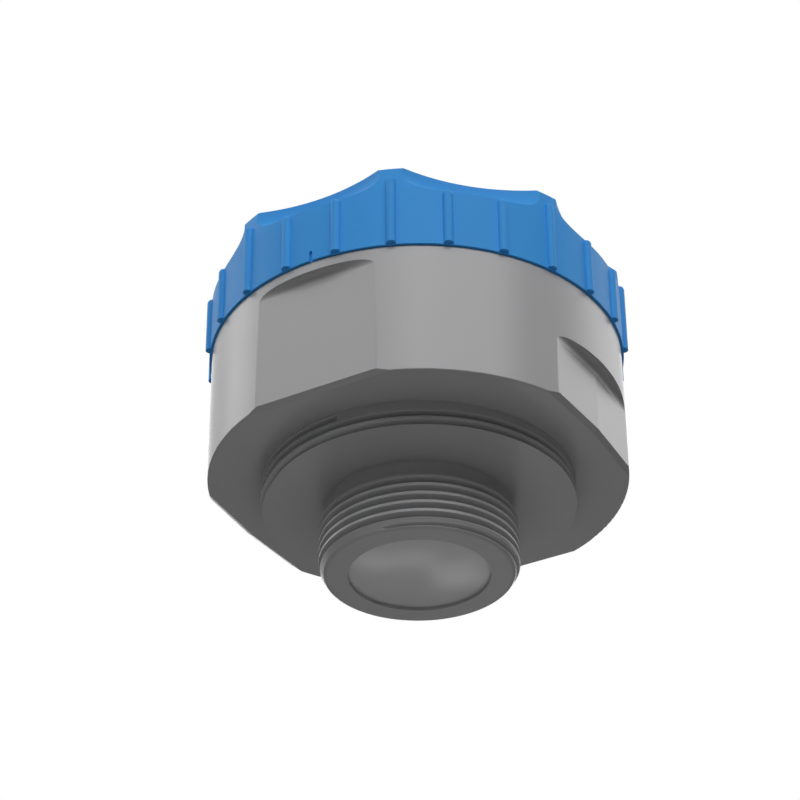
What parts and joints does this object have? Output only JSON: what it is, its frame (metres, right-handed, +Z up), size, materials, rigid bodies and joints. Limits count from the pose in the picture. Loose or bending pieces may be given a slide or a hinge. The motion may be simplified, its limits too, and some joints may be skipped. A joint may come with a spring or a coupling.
{
  "type": "radar distance sensor",
  "caption": "Compact battery radar distance sensor: grey moulded body with wrench flats, threaded spigot with lens, mounting collar and blue lobed screw cap.",
  "frame": {"origin": "centre of the spigot's end face, which the sensor stands on", "axes": "+Z up along the spigot, body and cap; -Y towards the camera of the picture, +X to its right"},
  "size_m": [0.1046, 0.1046, 0.0823],
  "materials": {
    "grey_plastic": "moulded, semi-gloss",
    "blue_plastic": "moulded, semi-gloss",
    "lens_plastic": "smooth, semi-gloss",
    "seal_rubber": "matt",
    "horn_metal": "satin",
    "board_green": "satin",
    "chip_black": "matt",
    "tin_plate": "satin",
    "spacer_plastic": "matt",
    "capacitor_sleeve": "satin",
    "screw_steel": "satin",
    "tray_plastic": "moulded, matt",
    "cell_sleeve": "plain sleeve, semi-gloss",
    "contact_nickel": "satin",
    "pin_brass": "satin",
    "strap_plastic": "moulded, matt",
    "film_amber": "satin"
  },
  "bodies": {
    "housing": {"housing": "grey_plastic", "mounting_spigot": "grey_plastic", "antenna_lens": "lens_plastic", "lens_seal": "seal_rubber", "horn_antenna": "horn_metal", "radar_board": "board_green", "radar_chip": "chip_black", "shield_can": "tin_plate", "board_spacers": "spacer_plastic", "main_board": "board_green", "processor_chip": "chip_black", "radio_module": "tin_plate", "buffer_capacitor": "capacitor_sleeve", "board_screws": "screw_steel", "battery_tray": "tray_plastic", "tray_screws": "screw_steel", "battery_cell_1": "cell_sleeve", "battery_cell_2": "cell_sleeve", "series_link": "contact_nickel", "contact_leaf_1": "contact_nickel", "contact_leaf_2": "contact_nickel", "contact_pins": "pin_brass", "battery_strap": "strap_plastic", "radio_antenna": "film_amber", "contactless_antenna": "film_amber"},
    "seal_ring": {"cap_seal": "seal_rubber"},
    "cap": {"cap": "blue_plastic"}
  },
  "joints": [
    {"name": "cap_lift", "type": "slide", "parent": "housing", "child": "seal_ring", "axis": [0, 0, 1], "range_m": [0, 0.006]},
    {"name": "cap_turn", "type": "hinge", "parent": "seal_ring", "child": "cap", "pos_m": [0, 0, 0.0596], "axis": [0, 0, 1], "range_deg": [0, 180]}
  ],
  "couplings": [
    {"joint": "cap_lift", "follows": "cap_turn", "m_per_rad": 0.0019098}
  ]
}
